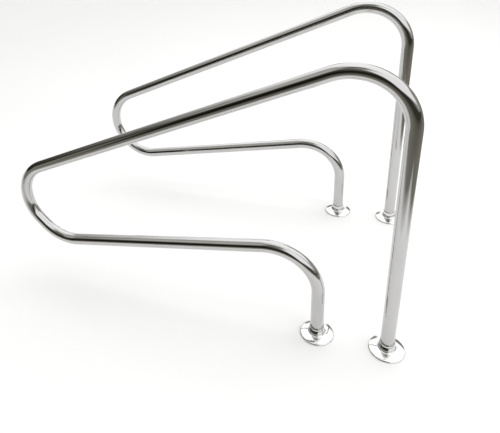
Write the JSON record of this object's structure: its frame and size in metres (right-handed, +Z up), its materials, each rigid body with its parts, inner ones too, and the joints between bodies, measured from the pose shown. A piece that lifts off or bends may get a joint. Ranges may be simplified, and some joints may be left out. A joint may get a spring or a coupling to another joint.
{
  "type": "pool handrail",
  "caption": "Pair of polished steel pool stair rails, each bent from one tube that slopes out over the steps and returns to the deck, with round covers over bolted feet.",
  "frame": {"origin": "centre of the left rail's tall foot, on the deck surface", "axes": "+Z up; the rails reach out over the pool steps along -X; +Y runs from the left rail to the right rail"},
  "size_m": [1.4125, 0.847, 1.0189],
  "materials": {
    "rail_polished": "mirror polished stainless steel",
    "cover_polished": "mirror polished spun stainless steel",
    "plate_steel": "ground stainless steel",
    "fastener_steel": "plain stainless steel",
    "gasket_rubber": "matt",
    "seal_rubber": "satin"
  },
  "bodies": {
    "fixed_rails": {"left_rail_tube": "rail_polished", "right_rail_tube": "rail_polished", "left_tall_base_gasket": "gasket_rubber", "left_tall_base_plate": "plate_steel", "left_tall_base_spigot": "plate_steel", "left_tall_set_screws": "fastener_steel", "left_tall_anchor_screws": "fastener_steel", "left_tall_anchor_sockets": "fastener_steel", "left_short_base_gasket": "gasket_rubber", "left_short_base_plate": "plate_steel", "left_short_base_spigot": "plate_steel", "left_short_set_screws": "fastener_steel", "left_short_anchor_screws": "fastener_steel", "left_short_anchor_sockets": "fastener_steel", "right_tall_base_gasket": "gasket_rubber", "right_tall_base_plate": "plate_steel", "right_tall_base_spigot": "plate_steel", "right_tall_set_screws": "fastener_steel", "right_tall_anchor_screws": "fastener_steel", "right_tall_anchor_sockets": "fastener_steel", "right_short_base_gasket": "gasket_rubber", "right_short_base_plate": "plate_steel", "right_short_base_spigot": "plate_steel", "right_short_set_screws": "fastener_steel", "right_short_anchor_screws": "fastener_steel", "right_short_anchor_sockets": "fastener_steel"},
    "left_tall_cover_body": {"left_tall_cover": "cover_polished"},
    "left_tall_seal": {"left_tall_cover_seal_ring": "seal_rubber"},
    "left_short_cover_body": {"left_short_cover": "cover_polished"},
    "left_short_seal": {"left_short_cover_seal_ring": "seal_rubber"},
    "right_tall_cover_body": {"right_tall_cover": "cover_polished"},
    "right_tall_seal": {"right_tall_cover_seal_ring": "seal_rubber"},
    "right_short_cover_body": {"right_short_cover": "cover_polished"},
    "right_short_seal": {"right_short_cover_seal_ring": "seal_rubber"}
  },
  "joints": [
    {"name": "left_tall_cover_lift", "type": "slide", "parent": "fixed_rails", "child": "left_tall_seal", "axis": [0, 0, 1], "range_m": [0, 0.742]},
    {"name": "left_tall_cover_turn", "type": "hinge", "parent": "left_tall_seal", "child": "left_tall_cover_body", "pos_m": [0, 0, 0], "axis": [0, 0, 1], "continuous": true},
    {"name": "left_short_cover_lift", "type": "slide", "parent": "fixed_rails", "child": "left_short_seal", "axis": [0, 0, 1], "range_m": [0, 0.139]},
    {"name": "left_short_cover_turn", "type": "hinge", "parent": "left_short_seal", "child": "left_short_cover_body", "pos_m": [-0.218, 0, 0], "axis": [0, 0, 1], "continuous": true},
    {"name": "right_tall_cover_lift", "type": "slide", "parent": "fixed_rails", "child": "right_tall_seal", "axis": [0, 0, 1], "range_m": [0, 0.742]},
    {"name": "right_tall_cover_turn", "type": "hinge", "parent": "right_tall_seal", "child": "right_tall_cover_body", "pos_m": [0, 0.735, 0], "axis": [0, 0, 1], "continuous": true},
    {"name": "right_short_cover_lift", "type": "slide", "parent": "fixed_rails", "child": "right_short_seal", "axis": [0, 0, 1], "range_m": [0, 0.139]},
    {"name": "right_short_cover_turn", "type": "hinge", "parent": "right_short_seal", "child": "right_short_cover_body", "pos_m": [-0.218, 0.735, 0], "axis": [0, 0, 1], "continuous": true}
  ]
}
